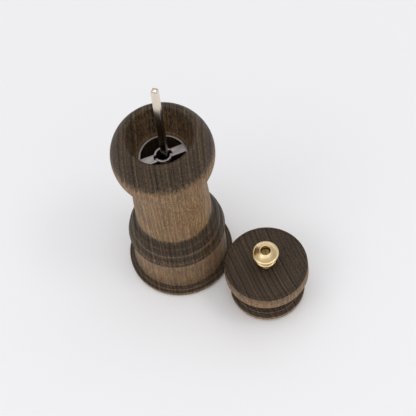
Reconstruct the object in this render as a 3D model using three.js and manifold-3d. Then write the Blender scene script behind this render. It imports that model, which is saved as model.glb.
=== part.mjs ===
// A turned oak pepper mill with its cap lifted off and stood beside it.
// Millimetres, +Z up. The mill and the cap each have a group on their own axis, and the
// outer group puts the origin in the middle of both, on the surface they stand on.
import * as THREE from 'three';
import { mergeVertices } from 'three/addons/utils/BufferGeometryUtils.js';
import Module from 'manifold-3d';

const wasm = await Module();
wasm.setup();

// ---- Driving dimensions ----

// Clearances
const GAP = 0.3;
const SLIDE_GAP = 0.45;
const SEAT_PLAY = 0.4;

// Facets round a full turn
const WOOD_FACETS = 40;
const FINE_FACETS = 24;
const SMALL_FACETS = 12;

// Wooden body, outside
const FOOT_R = 30;
const FOOT_BAND_H = 4.2;
const FOOT_ROUND = 1.2;
const BEAD_IN = 1.6;
const BEAD_H = 2.4;
const DRUM_FOOT_R = 26.9;
const DRUM_FOOT_RISE = 1.6;
const DRUM_HOLLOW = 1.2;
const COLLAR_R = 27.3;
const COLLAR_Z = 30.5;
const MIDDLE_BAND_R = 25;
const MIDDLE_BAND_RISE = 6.3;
const TOP_BAND_R = 22.8;
const TOP_BAND_RISE = 5.9;
const BAND_STEP = 0.4;
const WAIST_FOOT_R = 20.7;
const WAIST_FOOT_RISE = 5;
const NECK_R = 20;
const NECK_DROP = 30.6;
const BULB_R = 26.8;
const BULB_Z = 103.6;
const BULB_UPPER_H = 23.85;
const BULB_FOOT_ANGLE = THREE.MathUtils.degToRad(35);
const LIP_ROUND = 2;
const LIP_ANGLE = THREE.MathUtils.degToRad(45);

// Wooden body, inside
const BOWL_DEPTH = 18.35;
const SEAT_WALL_H = 2.1;
const HOPPER_R = 12;
const RECESS_H = 7;

// Guide plate at the bottom of the bowl
const PLATE_LEDGE_W = 1;
const PLATE_T = 1;
const PLATE_RIM_W = 1.2;
const PLATE_BAR_W = 4.8;
const PLATE_HUB_WALL = 0.95;
const PLATE_HUB_H = 1;
const PLATE_KEY_REACH = 1.4;
const PLATE_KEY_W = 2.3;
const PLATE_TURN = THREE.MathUtils.degToRad(15);

// Square shaft, which leans in the guide plate's loose hole
const SHAFT_A = 3.2;
const SHAFT_SHOW = 8.3;
const SHAFT_TURN = THREE.MathUtils.degToRad(-24);
const SHAFT_CHAMFER = 0.7;
const SHAFT_LEAN = THREE.MathUtils.degToRad(0.9);

// Grinder
const STATOR_R = 15.7;
const STATOR_H = 16.7;
const STATOR_TOP_BORE_R = 9;
const STATOR_FOOT_BORE_R = 11.3;
const STATOR_TEETH = 24;
const STATOR_TOOTH_H = 0.9;
const BURR_GAP = 1.1;
const ROTOR_H = 13.5;
const ROTOR_TOP_R = 5.4;
const ROTOR_TEETH = 12;
const ROTOR_TOOTH_H = 1.6;
const TOOTH_LAND = 0.55;
const TOOTH_TWIST = THREE.MathUtils.degToRad(18);
const SHAFT_TAIL = 1.2;
const NUT_WALL = 1.3;
const NUT_H = 2.3;
const COLLAR_NUT_H = 2;
const WASHER_W = 2.9;
const WASHER_T = 1;
const SPRING_OUT = 1.5;
const SPRING_WIRE = 0.9;
const SPRING_TURNS = 3.5;
const SPRING_H = 7.6;

// Bridge over the stator
const BRIDGE_W = 11;
const BRIDGE_T = 1.4;
const BUSH_WALL = 0.95;
const BUSH_RISE = 1;
const BUSH_FLANGE_W = 1.4;
const BUSH_FLANGE_T = 0.9;

// Plates and screws under the base
const FLANGE_W = 5.1;
const FLANGE_T = 1.5;
const FLANGE_HOLE_R = 12;
const BAR_W = 7;
const BAR_T = 1.2;
const BAR_INSET = 0.6;
const SCREW_R = 1.2;
const SCREW_HEAD_R = 2.4;
const SCREW_HEAD_H = 1.2;
const SCREW_CROWN_R = 1.7;
const SCREW_REACH = 8;
const SLOT_W = 0.5;
const SLOT_DEPTH = 0.5;

// Cap, which stands beside the mill in the direction given
const CAP_STAND_OFF = 3.1;
const CAP_BEARING = THREE.MathUtils.degToRad(-35.3);
const SPIGOT_PLAY = 0.9;
const SPIGOT_H = 3;
const LOWER_DISC_R = 21.1;
const LOWER_DISC_H = 3;
const LOWER_STEP_R = 18.9;
const LOWER_STEP_RISE = 2;
const CAP_NECK_R = 14.5;
const CAP_NECK_Z = 14.5;
const TOP_DISC_R = 23.3;
const TOP_DISC_TAPER = 0.5;
const TOP_DISC_Z = 22.4;
const TOP_DISC_H = 8.7;
const CAP_CROWN = 0.5;
const CAP_EDGE = 0.5;

// Drive plate and its screws in the cap's underside
const DRIVE_POCKET_H = 3.5;
const DRIVE_PLATE_R = 11.4;
const DRIVE_PLATE_T = 1.3;
const DRIVE_SCREW_X = 7.6;
const DRIVE_SCREW_REACH = 7;
const DRIVE_HEAD_H = 0.9;

// Cap bush, knob washer, knob and lock screw
const CAP_BUSH_WALL = 0.9;
const CAP_BUSH_LENGTH = 12;
const CAP_BUSH_FLANGE_W = 0.6;
const CAP_BUSH_FLANGE_T = 0.8;
const KNOB_WASHER_W = 1.1;
const KNOB_WASHER_T = 0.8;
const KNOB_FOOT_R = 3.6;
const KNOB_FOOT_H = 1.4;
const KNOB_BEAD_R = 5.8;
const KNOB_BEAD_H = 2;
const KNOB_NECK_R = 4.3;
const KNOB_NECK_H = 4.8;
const KNOB_FLANGE_R = 7.3;
const KNOB_FLANGE_T = 1;
const KNOB_CONE_H = 2.6;
const KNOB_RIM_W = 0.6;
const KNOB_HOLE_PLAY = 0.45;
const LOCK_SCREW_H = 2.4;
const LOCK_SCREW_DEPTH = 2.4;

// ---- Sizes and places that follow ----

const SHAFT_CORNER_R = SHAFT_A * Math.SQRT1_2;
const SHAFT_BORE_R = SHAFT_CORNER_R + SLIDE_GAP;

// Steps up the outside of the body
const BEAD_R = FOOT_R - BEAD_IN;
const BEAD_TOP_Z = FOOT_BAND_H + BEAD_H;
const DRUM_FOOT_Z = BEAD_TOP_Z + DRUM_FOOT_RISE;
const MIDDLE_BAND_Z = COLLAR_Z + MIDDLE_BAND_RISE;
const TOP_BAND_Z = MIDDLE_BAND_Z + TOP_BAND_RISE;
const WAIST_FOOT_Z = TOP_BAND_Z + WAIST_FOOT_RISE;
const NECK_Z = BULB_Z - NECK_DROP;

// The bulb is an ellipse above its widest line, up to where it faces up by the lip's angle
const BULB_END = Math.atan((BULB_UPPER_H / BULB_R) * Math.tan(LIP_ANGLE));
const LIP_CENTRE_R = BULB_R * Math.cos(BULB_END) - LIP_ROUND * Math.cos(LIP_ANGLE);
const LIP_CENTRE_Z = BULB_Z + BULB_UPPER_H * Math.sin(BULB_END) - LIP_ROUND * Math.sin(LIP_ANGLE);
const LIP_Z = LIP_CENTRE_Z + LIP_ROUND;
const MOUTH_R = LIP_CENTRE_R - LIP_ROUND;

// The guide plate and its seat
const PLATE_R = HOPPER_R + PLATE_LEDGE_W;
const PLATE_SEAT_R = PLATE_R + GAP;
const PLATE_Z = LIP_Z - BOWL_DEPTH - PLATE_T;
const PLATE_LEDGE_Z = PLATE_Z - GAP;
const BOWL_FLOOR_Z = PLATE_Z + PLATE_T + SEAT_WALL_H;
const BOWL_SLOPE = Math.atan2(MOUTH_R - PLATE_SEAT_R, LIP_CENTRE_Z - BOWL_FLOOR_Z);

// Under the base, from the recess roof down
const FLANGE_TOP_Z = RECESS_H - GAP;
const FLANGE_Z = FLANGE_TOP_Z - FLANGE_T;
const BAR_TOP_Z = FLANGE_Z - GAP;
const BAR_Z = BAR_TOP_Z - BAR_T;
const STATOR_BORE_R = STATOR_R + GAP;
const FLANGE_R = STATOR_BORE_R + FLANGE_W;
const RECESS_R = FLANGE_R + SEAT_PLAY;
const SCREW_CIRCLE_R = (STATOR_BORE_R + FLANGE_R) / 2;

// The grinder, from the bar up
const STATOR_Z = FLANGE_TOP_Z + GAP;
const STATOR_TOP_Z = STATOR_Z + STATOR_H;
const SHAFT_Z = BAR_TOP_Z + GAP;
const NUT_R = SHAFT_CORNER_R + GAP + NUT_WALL;
const NUT_Z = SHAFT_Z + SHAFT_TAIL;
const ROTOR_FOOT_R = STATOR_FOOT_BORE_R - BURR_GAP;
const ROTOR_Z = NUT_Z + NUT_H + GAP;
const ROTOR_TOP_Z = ROTOR_Z + ROTOR_H;
const COLLAR_NUT_Z = ROTOR_TOP_Z + GAP;
const WASHER_R = SHAFT_BORE_R + WASHER_W;
const WASHER_Z = COLLAR_NUT_Z + COLLAR_NUT_H + GAP;
const SPRING_R = SHAFT_BORE_R + SPRING_OUT;
const SPRING_Z = WASHER_Z + WASHER_T + GAP;
const BUSH_R = SHAFT_BORE_R + BUSH_WALL;
const BUSH_FLANGE_R = BUSH_R + BUSH_FLANGE_W;
const BUSH_Z = SPRING_Z + SPRING_H + GAP;
const BRIDGE_Z = BUSH_Z + BUSH_FLANGE_T + GAP;
const BRIDGE_TOP_Z = BRIDGE_Z + BRIDGE_T;
const BRIDGE_FOOT_Z = STATOR_TOP_Z + GAP;
const BRIDGE_SPAN_R = HOPPER_R - GAP;

// The shaft leans about the bridge bush, as far as the hole in the guide plate lets it
const LEAN_PIVOT_Z = (BUSH_Z + BRIDGE_TOP_Z) / 2;
const PLATE_OFFSET = (PLATE_Z + PLATE_T + PLATE_HUB_H - LEAN_PIVOT_Z) * Math.tan(SHAFT_LEAN);
const PLATE_HOLE_R = SHAFT_CORNER_R + PLATE_OFFSET + GAP;
const PLATE_HUB_R = PLATE_HOLE_R + PLATE_HUB_WALL;
const PLATE_KEY_R = PLATE_HOLE_R + PLATE_KEY_REACH;

// The cap, from the surface that it stands on up
const CAP_X = (FOOT_R + TOP_DISC_R + CAP_STAND_OFF) * Math.cos(CAP_BEARING);
const CAP_Y = (FOOT_R + TOP_DISC_R + CAP_STAND_OFF) * Math.sin(CAP_BEARING);
const SPIGOT_R = MOUTH_R - SPIGOT_PLAY;
const LOWER_DISC_TOP_Z = SPIGOT_H + LOWER_DISC_H;
const LOWER_STEP_Z = LOWER_DISC_TOP_Z + LOWER_STEP_RISE;
const TOP_EDGE_Z = TOP_DISC_Z + TOP_DISC_H;
const CAP_TOP_Z = TOP_EDGE_Z + CAP_CROWN;
const SHAFT_TIP_Z = LIP_Z + CAP_TOP_Z - SPIGOT_H + SHAFT_SHOW;
const DRIVE_POCKET_R = DRIVE_PLATE_R + SEAT_PLAY;
const DRIVE_PLATE_Z = DRIVE_POCKET_H - GAP - DRIVE_PLATE_T;
const CAP_BUSH_R = SHAFT_BORE_R + CAP_BUSH_WALL;
const CAP_BUSH_FLANGE_R = CAP_BUSH_R + CAP_BUSH_FLANGE_W;
const CAP_BUSH_FLANGE_Z = CAP_TOP_Z + GAP;
const KNOB_WASHER_Z = CAP_BUSH_FLANGE_Z + CAP_BUSH_FLANGE_T + GAP;
const KNOB_Z = KNOB_WASHER_Z + KNOB_WASHER_T + GAP;
const KNOB_HOLE_R = SHAFT_CORNER_R + KNOB_HOLE_PLAY;
const KNOB_RIM_R = KNOB_HOLE_R + KNOB_RIM_W;

// ---- Materials ----

const steel = { color: 0x9b9794, roughness: 0.38, metalness: 1 };
const darkSteel = { color: 0x6e6c69, roughness: 0.5, metalness: 1 };
const brightSteel = { color: 0xd8d0c4, roughness: 0.22, metalness: 1 };
const brass = { color: 0xc8a45c, roughness: 0.2, metalness: 1 };
const oak = { color: 0x66543f, roughness: 0.62, metalness: 0 };

// ---- Helpers ----

// The outline in (radius, height), turned once round the Z axis.
function turned(outline, facets = FINE_FACETS, divisions = 4) {
  const geometry = new THREE.LatheGeometry(outline.getPoints(divisions), facets);
  geometry.rotateX(Math.PI / 2);
  return outward(geometry);
}

// An outline that closes on itself, for a turned piece with a hole through it.
function ringOutline(innerR, outerR, z0, z1) {
  const outline = new THREE.Path();
  outline.moveTo(innerR, z0);
  outline.lineTo(outerR, z0);
  outline.lineTo(outerR, z1);
  outline.lineTo(innerR, z1);
  outline.lineTo(innerR, z0);
  return outline;
}

function cylinder(radius, z0, z1, facets = SMALL_FACETS) {
  const geometry = new THREE.CylinderGeometry(radius, radius, z1 - z0, facets);
  geometry.rotateX(Math.PI / 2);
  geometry.translate(0, 0, (z0 + z1) / 2);
  return geometry;
}

function box(width, depth, z0, z1) {
  const geometry = new THREE.BoxGeometry(width, depth, z1 - z0);
  geometry.translate(0, 0, (z0 + z1) / 2);
  return geometry;
}

function moved(geometry, x, y) {
  geometry.translate(x, y, 0);
  return geometry;
}

// Merges the shared corners, and turns the faces outwards if the mesh is inside out.
function outward(geometry) {
  geometry.deleteAttribute('uv');
  geometry.deleteAttribute('normal');
  const merged = mergeVertices(geometry, 1e-5);
  const index = merged.index.array;
  const corner = [0, 1, 2].map(() => new THREE.Vector3());
  const kept = [];
  let volume = 0;
  for (let i = 0; i < index.length; i += 3) {
    const face = [index[i], index[i + 1], index[i + 2]];
    if (new Set(face).size < 3) continue;
    face.forEach((vertex, n) => corner[n].fromBufferAttribute(merged.attributes.position, vertex));
    volume += corner[0].dot(corner[1].cross(corner[2]));
    kept.push(face);
  }
  const faces = volume < 0 ? kept.map(([a, b, c]) => [a, c, b]) : kept;
  merged.setIndex(faces.flat());
  return merged;
}

function solid(geometry) {
  const closed = outward(geometry);
  return new wasm.Manifold(new wasm.Mesh({
    numProp: 3,
    vertProperties: new Float32Array(closed.attributes.position.array),
    triVerts: new Uint32Array(closed.index.array),
  }));
}

function geometryOf(manifold) {
  const mesh = manifold.getMesh();
  const geometry = new THREE.BufferGeometry();
  geometry.setAttribute('position', new THREE.BufferAttribute(mesh.vertProperties, 3));
  geometry.setIndex(new THREE.BufferAttribute(mesh.triVerts, 1));
  return geometry;
}

// The first geometry with each of the others cut out of it.
function cut(geometry, ...tools) {
  return geometryOf(tools.reduce((body, tool) => body.subtract(solid(tool)), solid(geometry)));
}

// Names the piece, gives it its own material and puts it in its group.
function piece(name, geometry, finish, group) {
  const mesh = new THREE.Mesh(geometry, new THREE.MeshStandardMaterial(finish));
  mesh.geometry.computeVertexNormals();
  mesh.name = name;
  group.add(mesh);
  return mesh;
}

// A square bar up the Z axis, turned as the shaft is.
function squareBar(side, z0, z1) {
  const geometry = box(side, side, z0, z1);
  geometry.rotateZ(SHAFT_TURN);
  return geometry;
}

// A toothed cone: a star that is extruded, tapered from its foot to its top and twisted.
function toothedCone(teeth, footR, topR, toothH, z0, z1, twist) {
  const height = z1 - z0;
  const star = new THREE.Shape();
  for (let i = 0; i < teeth; i += 1) {
    const a = (i / teeth) * 2 * Math.PI;
    const b = ((i + TOOTH_LAND) / teeth) * 2 * Math.PI;
    const tip = footR;
    const root = footR - toothH;
    const draw = i === 0 ? 'moveTo' : 'lineTo';
    star[draw](tip * Math.cos(a), tip * Math.sin(a));
    star.lineTo(root * Math.cos(b), root * Math.sin(b));
  }
  const geometry = new THREE.ExtrudeGeometry(star, { depth: height, steps: 4, bevelEnabled: false });
  const position = geometry.attributes.position;
  const vertex = new THREE.Vector3();
  for (let i = 0; i < position.count; i += 1) {
    vertex.fromBufferAttribute(position, i);
    const share = vertex.z / height;
    const scale = THREE.MathUtils.lerp(1, topR / footR, share);
    vertex.set(vertex.x * scale, vertex.y * scale, vertex.z);
    vertex.applyAxisAngle(new THREE.Vector3(0, 0, 1), twist * share);
    position.setXYZ(i, vertex.x, vertex.y, vertex.z + z0);
  }
  return geometry;
}

// A slotted screw that points up: a shallow domed head with its shank above it.
function slottedScrew(x, y, headZ, headH, reach) {
  const outline = new THREE.Path();
  outline.moveTo(0, headZ);
  outline.lineTo(SCREW_CROWN_R, headZ);
  outline.lineTo(SCREW_HEAD_R, headZ + headH * 0.5);
  outline.lineTo(SCREW_HEAD_R, headZ + headH);
  outline.lineTo(SCREW_R, headZ + headH);
  outline.lineTo(SCREW_R, headZ + headH + reach - SCREW_R);
  outline.lineTo(0, headZ + headH + reach);
  const slot = box(2 * SCREW_HEAD_R + GAP, SLOT_W, headZ - SLOT_DEPTH, headZ + SLOT_DEPTH);
  const geometry = cut(turned(outline, SMALL_FACETS), slot);
  return moved(geometry, x, y);
}

// ---- Wooden body ----

function bodyOutline() {
  const bulbFoot = new THREE.Vector2(
    BULB_R * Math.cos(BULB_FOOT_ANGLE),
    BULB_Z - BULB_R * Math.sin(BULB_FOOT_ANGLE),
  );
  const outline = new THREE.Path();
  outline.moveTo(RECESS_R, 0);
  // Foot band and its bead
  outline.lineTo(FOOT_R - FOOT_ROUND, 0);
  outline.lineTo(FOOT_R, FOOT_ROUND);
  outline.lineTo(FOOT_R, FOOT_BAND_H - 0.4);
  outline.lineTo(FOOT_R - 0.4, FOOT_BAND_H);
  outline.lineTo(BEAD_R, FOOT_BAND_H + 0.2);
  outline.quadraticCurveTo(BEAD_R + 0.5, FOOT_BAND_H + BEAD_H / 2, BEAD_R - 0.8, BEAD_TOP_Z);
  // Hollow drum
  outline.lineTo(DRUM_FOOT_R, DRUM_FOOT_Z);
  const drumMiddleZ = (DRUM_FOOT_Z + COLLAR_Z) / 2;
  outline.quadraticCurveTo(DRUM_FOOT_R - 2 * DRUM_HOLLOW, drumMiddleZ, COLLAR_R, COLLAR_Z - 0.4);
  outline.lineTo(COLLAR_R - 0.3, COLLAR_Z);
  // Stepped shoulder
  outline.quadraticCurveTo(COLLAR_R - 0.6, COLLAR_Z + 3, MIDDLE_BAND_R + BAND_STEP, MIDDLE_BAND_Z);
  outline.lineTo(MIDDLE_BAND_R, MIDDLE_BAND_Z + BAND_STEP);
  outline.quadraticCurveTo(MIDDLE_BAND_R, TOP_BAND_Z - 2, TOP_BAND_R + BAND_STEP, TOP_BAND_Z);
  outline.lineTo(TOP_BAND_R, TOP_BAND_Z + BAND_STEP);
  outline.quadraticCurveTo(WAIST_FOOT_R + 0.2, TOP_BAND_Z + 1.4, WAIST_FOOT_R, WAIST_FOOT_Z);
  // Waist, neck and bulb
  outline.quadraticCurveTo(WAIST_FOOT_R + 0.6, (WAIST_FOOT_Z + NECK_Z) / 2, NECK_R, NECK_Z);
  outline.bezierCurveTo(NECK_R - 0.2, NECK_Z + 6, bulbFoot.x - 2, bulbFoot.y - 3, bulbFoot.x, bulbFoot.y);
  outline.absarc(0, BULB_Z, BULB_R, -BULB_FOOT_ANGLE, 0);
  outline.absellipse(0, BULB_Z, BULB_R, BULB_UPPER_H, 0, BULB_END);
  outline.absarc(LIP_CENTRE_R, LIP_CENTRE_Z, LIP_ROUND, LIP_ANGLE, Math.PI - BOWL_SLOPE);
  // Bowl, plate seat and hopper
  outline.lineTo(PLATE_SEAT_R, BOWL_FLOOR_Z);
  outline.lineTo(PLATE_SEAT_R, PLATE_LEDGE_Z);
  outline.lineTo(HOPPER_R, PLATE_LEDGE_Z);
  outline.lineTo(HOPPER_R, STATOR_TOP_Z + GAP);
  outline.lineTo(STATOR_BORE_R, STATOR_TOP_Z + GAP);
  outline.lineTo(STATOR_BORE_R, RECESS_H);
  outline.lineTo(RECESS_R, RECESS_H);
  outline.lineTo(RECESS_R, 0);
  return outline;
}

// The four screws under the base: two hold the bar and the flange, two the flange alone.
const BAR_SCREWS = [[SCREW_CIRCLE_R, 0], [-SCREW_CIRCLE_R, 0]];
const FLANGE_SCREWS = [[0, SCREW_CIRCLE_R], [0, -SCREW_CIRCLE_R]];
const BAR_HEAD_Z = BAR_Z - GAP - SCREW_HEAD_H;
const FLANGE_HEAD_Z = FLANGE_Z - GAP - SCREW_HEAD_H;

function addWoodenBody(group) {
  const pilots = [...BAR_SCREWS, ...FLANGE_SCREWS].map(([x, y]) => moved(
    cylinder(SCREW_R + GAP, RECESS_H - 1, FLANGE_HEAD_Z + SCREW_HEAD_H + SCREW_REACH + GAP),
    x,
    y,
  ));
  piece('wooden_body', cut(turned(bodyOutline(), WOOD_FACETS), ...pilots), oak, group);
}

// ---- Guide plate ----

function addGuidePlate(group) {
  const windowR = PLATE_R - PLATE_RIM_W;
  const halfBar = PLATE_BAR_W / 2;
  const barAngle = Math.asin(halfBar / windowR);
  const hubAngle = Math.asin(halfBar / PLATE_HUB_R);
  const disc = new THREE.Shape();
  disc.absarc(0, 0, PLATE_R, 0, 2 * Math.PI);
  for (const side of [0, Math.PI]) {
    const hole = new THREE.Path();
    hole.absarc(0, 0, windowR, side + barAngle, side + Math.PI - barAngle);
    hole.absarc(0, 0, PLATE_HUB_R, side + Math.PI - hubAngle, side + hubAngle, true);
    disc.holes.push(hole);
  }
  const plate = new THREE.ExtrudeGeometry(disc, { depth: PLATE_T, curveSegments: 12, bevelEnabled: false });
  const hub = cylinder(PLATE_HUB_R, PLATE_T / 2, PLATE_T + PLATE_HUB_H, FINE_FACETS);
  const bore = cylinder(PLATE_HOLE_R, -1, PLATE_T + PLATE_HUB_H + 1, FINE_FACETS);
  const keys = box(2 * PLATE_KEY_R, PLATE_KEY_W, -1, PLATE_T + PLATE_HUB_H + 1);
  const whole = solid(plate).add(solid(hub)).subtract(solid(bore)).subtract(solid(keys));
  const mesh = piece('guide_plate', geometryOf(whole), steel, group);
  mesh.rotation.z = PLATE_TURN;
  mesh.position.z = PLATE_Z;
}

// ---- Grinder: fixed pieces ----

function addStator(group) {
  const teeth = toothedCone(
    STATOR_TEETH,
    STATOR_FOOT_BORE_R + STATOR_TOOTH_H,
    STATOR_TOP_BORE_R + STATOR_TOOTH_H,
    STATOR_TOOTH_H,
    STATOR_Z - 0.01,
    STATOR_TOP_Z + 0.01,
    -TOOTH_TWIST / 2,
  );
  const blank = cylinder(STATOR_R, STATOR_Z, STATOR_TOP_Z, WOOD_FACETS);
  piece('stator_ring', cut(blank, teeth), darkSteel, group);
}

function addFlangeAndBar(group) {
  const holes = [...BAR_SCREWS, ...FLANGE_SCREWS].map(([x, y]) => moved(
    cylinder(SCREW_R + GAP, FLANGE_Z - 1, FLANGE_TOP_Z + 1),
    x,
    y,
  ));
  const flange = turned(ringOutline(FLANGE_HOLE_R, FLANGE_R, FLANGE_Z, FLANGE_TOP_Z), WOOD_FACETS);
  piece('stator_flange', cut(flange, ...holes), steel, group);

  const bar = new THREE.Shape();
  const end = FLANGE_R - BAR_INSET - BAR_W / 2;
  bar.absarc(end, 0, BAR_W / 2, -Math.PI / 2, Math.PI / 2);
  bar.absarc(-end, 0, BAR_W / 2, Math.PI / 2, Math.PI * 1.5);
  const strip = new THREE.ExtrudeGeometry(bar, { depth: BAR_T, curveSegments: 10, bevelEnabled: false });
  strip.translate(0, 0, BAR_Z);
  const barHoles = BAR_SCREWS.map(([x, y]) => moved(cylinder(SCREW_R + GAP, BAR_Z - 1, BAR_TOP_Z + 1), x, y));
  piece('bottom_bar', cut(strip, ...barHoles), steel, group);

  BAR_SCREWS.forEach(([x, y], i) => {
    const reach = SCREW_REACH + FLANGE_HEAD_Z - BAR_HEAD_Z;
    piece(`bar_screw_${i + 1}`, slottedScrew(x, y, BAR_HEAD_Z, SCREW_HEAD_H, reach), steel, group);
  });
  FLANGE_SCREWS.forEach(([x, y], i) => {
    const screw = slottedScrew(x, y, FLANGE_HEAD_Z, SCREW_HEAD_H, SCREW_REACH);
    piece(`flange_screw_${i + 1}`, screw, steel, group);
  });
}

// The bridge is a strap bent to a U, with turned-out feet on the stator, cut to the hopper's bore.
function addBridge(group) {
  const legOut = BRIDGE_SPAN_R - BRIDGE_T;
  const strap = new THREE.Shape();
  strap.moveTo(-HOPPER_R, BRIDGE_FOOT_Z);
  strap.lineTo(-legOut + BRIDGE_T, BRIDGE_FOOT_Z);
  strap.lineTo(-legOut + BRIDGE_T, BRIDGE_Z);
  strap.lineTo(legOut - BRIDGE_T, BRIDGE_Z);
  strap.lineTo(legOut - BRIDGE_T, BRIDGE_FOOT_Z);
  strap.lineTo(HOPPER_R, BRIDGE_FOOT_Z);
  strap.lineTo(HOPPER_R, BRIDGE_FOOT_Z + BRIDGE_T);
  strap.lineTo(legOut, BRIDGE_FOOT_Z + BRIDGE_T);
  strap.lineTo(legOut, BRIDGE_TOP_Z);
  strap.lineTo(-legOut, BRIDGE_TOP_Z);
  strap.lineTo(-legOut, BRIDGE_FOOT_Z + BRIDGE_T);
  strap.lineTo(-HOPPER_R, BRIDGE_FOOT_Z + BRIDGE_T);
  const bent = new THREE.ExtrudeGeometry(strap, { depth: BRIDGE_W, bevelEnabled: false });
  bent.translate(0, 0, -BRIDGE_W / 2);
  bent.rotateX(Math.PI / 2);
  const envelope = cylinder(BRIDGE_SPAN_R, BRIDGE_FOOT_Z - 1, BRIDGE_TOP_Z + 1, WOOD_FACETS);
  const hole = cylinder(BUSH_R + GAP, BRIDGE_Z - 1, BRIDGE_TOP_Z + 1, FINE_FACETS);
  const whole = solid(bent).intersect(solid(envelope)).subtract(solid(hole));
  piece('bridge', geometryOf(whole), steel, group);

  const bush = new THREE.Path();
  bush.moveTo(SHAFT_BORE_R, BUSH_Z);
  bush.lineTo(BUSH_FLANGE_R, BUSH_Z);
  bush.lineTo(BUSH_FLANGE_R, BUSH_Z + BUSH_FLANGE_T);
  bush.lineTo(BUSH_R, BUSH_Z + BUSH_FLANGE_T);
  bush.lineTo(BUSH_R, BRIDGE_TOP_Z + BUSH_RISE);
  bush.lineTo(SHAFT_BORE_R, BRIDGE_TOP_Z + BUSH_RISE);
  bush.lineTo(SHAFT_BORE_R, BUSH_Z);
  piece('bridge_bush', turned(bush, FINE_FACETS), brass, group);
}

// ---- Grinder: spring and its seat, which rise with the shaft but do not turn ----

class Helix extends THREE.Curve {
  constructor(radius, turns, height, z0) {
    super();
    Object.assign(this, { radius, turns, height, z0 });
  }

  getPoint(t, target = new THREE.Vector3()) {
    const angle = 2 * Math.PI * this.turns * t;
    return target.set(
      this.radius * Math.cos(angle),
      this.radius * Math.sin(angle),
      this.z0 + this.height * t,
    );
  }
}

function addSpring(group) {
  const wireR = SPRING_WIRE / 2;
  const section = new THREE.Shape();
  section.absarc(0, 0, wireR, 0, 2 * Math.PI);
  const helix = new Helix(SPRING_R, SPRING_TURNS, SPRING_H - SPRING_WIRE, SPRING_Z + wireR);
  const spring = new THREE.ExtrudeGeometry(section, {
    extrudePath: helix,
    steps: Math.round(SPRING_TURNS * 14),
    curveSegments: 3,
  });
  piece('grinder_spring', outward(spring), brightSteel, group);
  const washer = ringOutline(SHAFT_BORE_R, WASHER_R, WASHER_Z, WASHER_Z + WASHER_T);
  piece('thrust_washer', turned(washer), steel, group);
}

// ---- Shaft with the burr ----

function addShaft(group) {
  const bar = new THREE.Shape();
  const half = SHAFT_A / 2 - SHAFT_CHAMFER;
  bar.moveTo(-half, -half);
  bar.lineTo(half, -half);
  bar.lineTo(half, half);
  bar.lineTo(-half, half);
  const shaft = new THREE.ExtrudeGeometry(bar, {
    depth: SHAFT_TIP_Z - SHAFT_Z - 2 * SHAFT_CHAMFER,
    bevelThickness: SHAFT_CHAMFER,
    bevelSize: SHAFT_CHAMFER,
    bevelSegments: 1,
  });
  shaft.rotateZ(SHAFT_TURN);
  shaft.translate(0, 0, SHAFT_Z + SHAFT_CHAMFER);
  piece('shaft', outward(shaft), brightSteel, group);
}

function addBurr(group) {
  const squareHole = () => squareBar(SHAFT_A + 2 * GAP, SHAFT_Z - 1, WASHER_Z + WASHER_T);
  const burr = toothedCone(
    ROTOR_TEETH,
    ROTOR_FOOT_R,
    ROTOR_TOP_R,
    ROTOR_TOOTH_H,
    ROTOR_Z,
    ROTOR_TOP_Z,
    TOOTH_TWIST,
  );
  piece('rotor_burr', cut(burr, squareHole()), darkSteel, group);
  const nut = cylinder(NUT_R, NUT_Z, NUT_Z + NUT_H, 6);
  piece('rotor_nut', cut(nut, squareHole()), steel, group);
  const collar = cylinder(NUT_R, COLLAR_NUT_Z, COLLAR_NUT_Z + COLLAR_NUT_H, FINE_FACETS);
  piece('shaft_collar', cut(collar, squareHole()), steel, group);
}

// ---- Cap ----

function capOutline() {
  const boreR = SHAFT_BORE_R + GAP;
  const bushBoreR = CAP_BUSH_R + GAP;
  const bushZ = CAP_TOP_Z - CAP_BUSH_LENGTH - GAP;
  const topEdgeR = TOP_DISC_R - TOP_DISC_TAPER;
  const outline = new THREE.Path();
  outline.moveTo(DRIVE_POCKET_R, 0);
  // Spigot and lower disc
  outline.lineTo(SPIGOT_R - CAP_EDGE, 0);
  outline.lineTo(SPIGOT_R, CAP_EDGE);
  outline.lineTo(SPIGOT_R, SPIGOT_H);
  outline.lineTo(LOWER_DISC_R - CAP_EDGE, SPIGOT_H);
  outline.lineTo(LOWER_DISC_R, SPIGOT_H + CAP_EDGE);
  outline.lineTo(LOWER_DISC_R, LOWER_DISC_TOP_Z - CAP_EDGE);
  outline.quadraticCurveTo(LOWER_DISC_R - 0.5, LOWER_DISC_TOP_Z + 0.6, LOWER_STEP_R + 0.3, LOWER_STEP_Z);
  outline.lineTo(LOWER_STEP_R, LOWER_STEP_Z + 0.4);
  // Deep neck
  outline.quadraticCurveTo(CAP_NECK_R + 0.3, LOWER_STEP_Z + 1, CAP_NECK_R, CAP_NECK_Z);
  const discFootR = TOP_DISC_R - 0.4;
  outline.bezierCurveTo(CAP_NECK_R, CAP_NECK_Z + 4, CAP_NECK_R + 2, TOP_DISC_Z - 0.6, discFootR, TOP_DISC_Z);
  // Top disc
  outline.lineTo(TOP_DISC_R, TOP_DISC_Z + 0.4);
  outline.lineTo(topEdgeR, TOP_EDGE_Z - CAP_EDGE);
  outline.lineTo(topEdgeR - CAP_EDGE, TOP_EDGE_Z);
  outline.lineTo(TOP_DISC_R / 2, CAP_TOP_Z);
  outline.lineTo(bushBoreR, CAP_TOP_Z);
  // Bore for the bush and the shaft, and the drive plate's pocket
  outline.lineTo(bushBoreR, bushZ);
  outline.lineTo(boreR, bushZ);
  outline.lineTo(boreR, DRIVE_POCKET_H);
  outline.lineTo(DRIVE_POCKET_R, DRIVE_POCKET_H);
  outline.lineTo(DRIVE_POCKET_R, 0);
  return outline;
}

const DRIVE_SCREWS = [[DRIVE_SCREW_X, 0], [-DRIVE_SCREW_X, 0]];
const DRIVE_HEAD_Z = DRIVE_PLATE_Z - GAP - DRIVE_HEAD_H;

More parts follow.
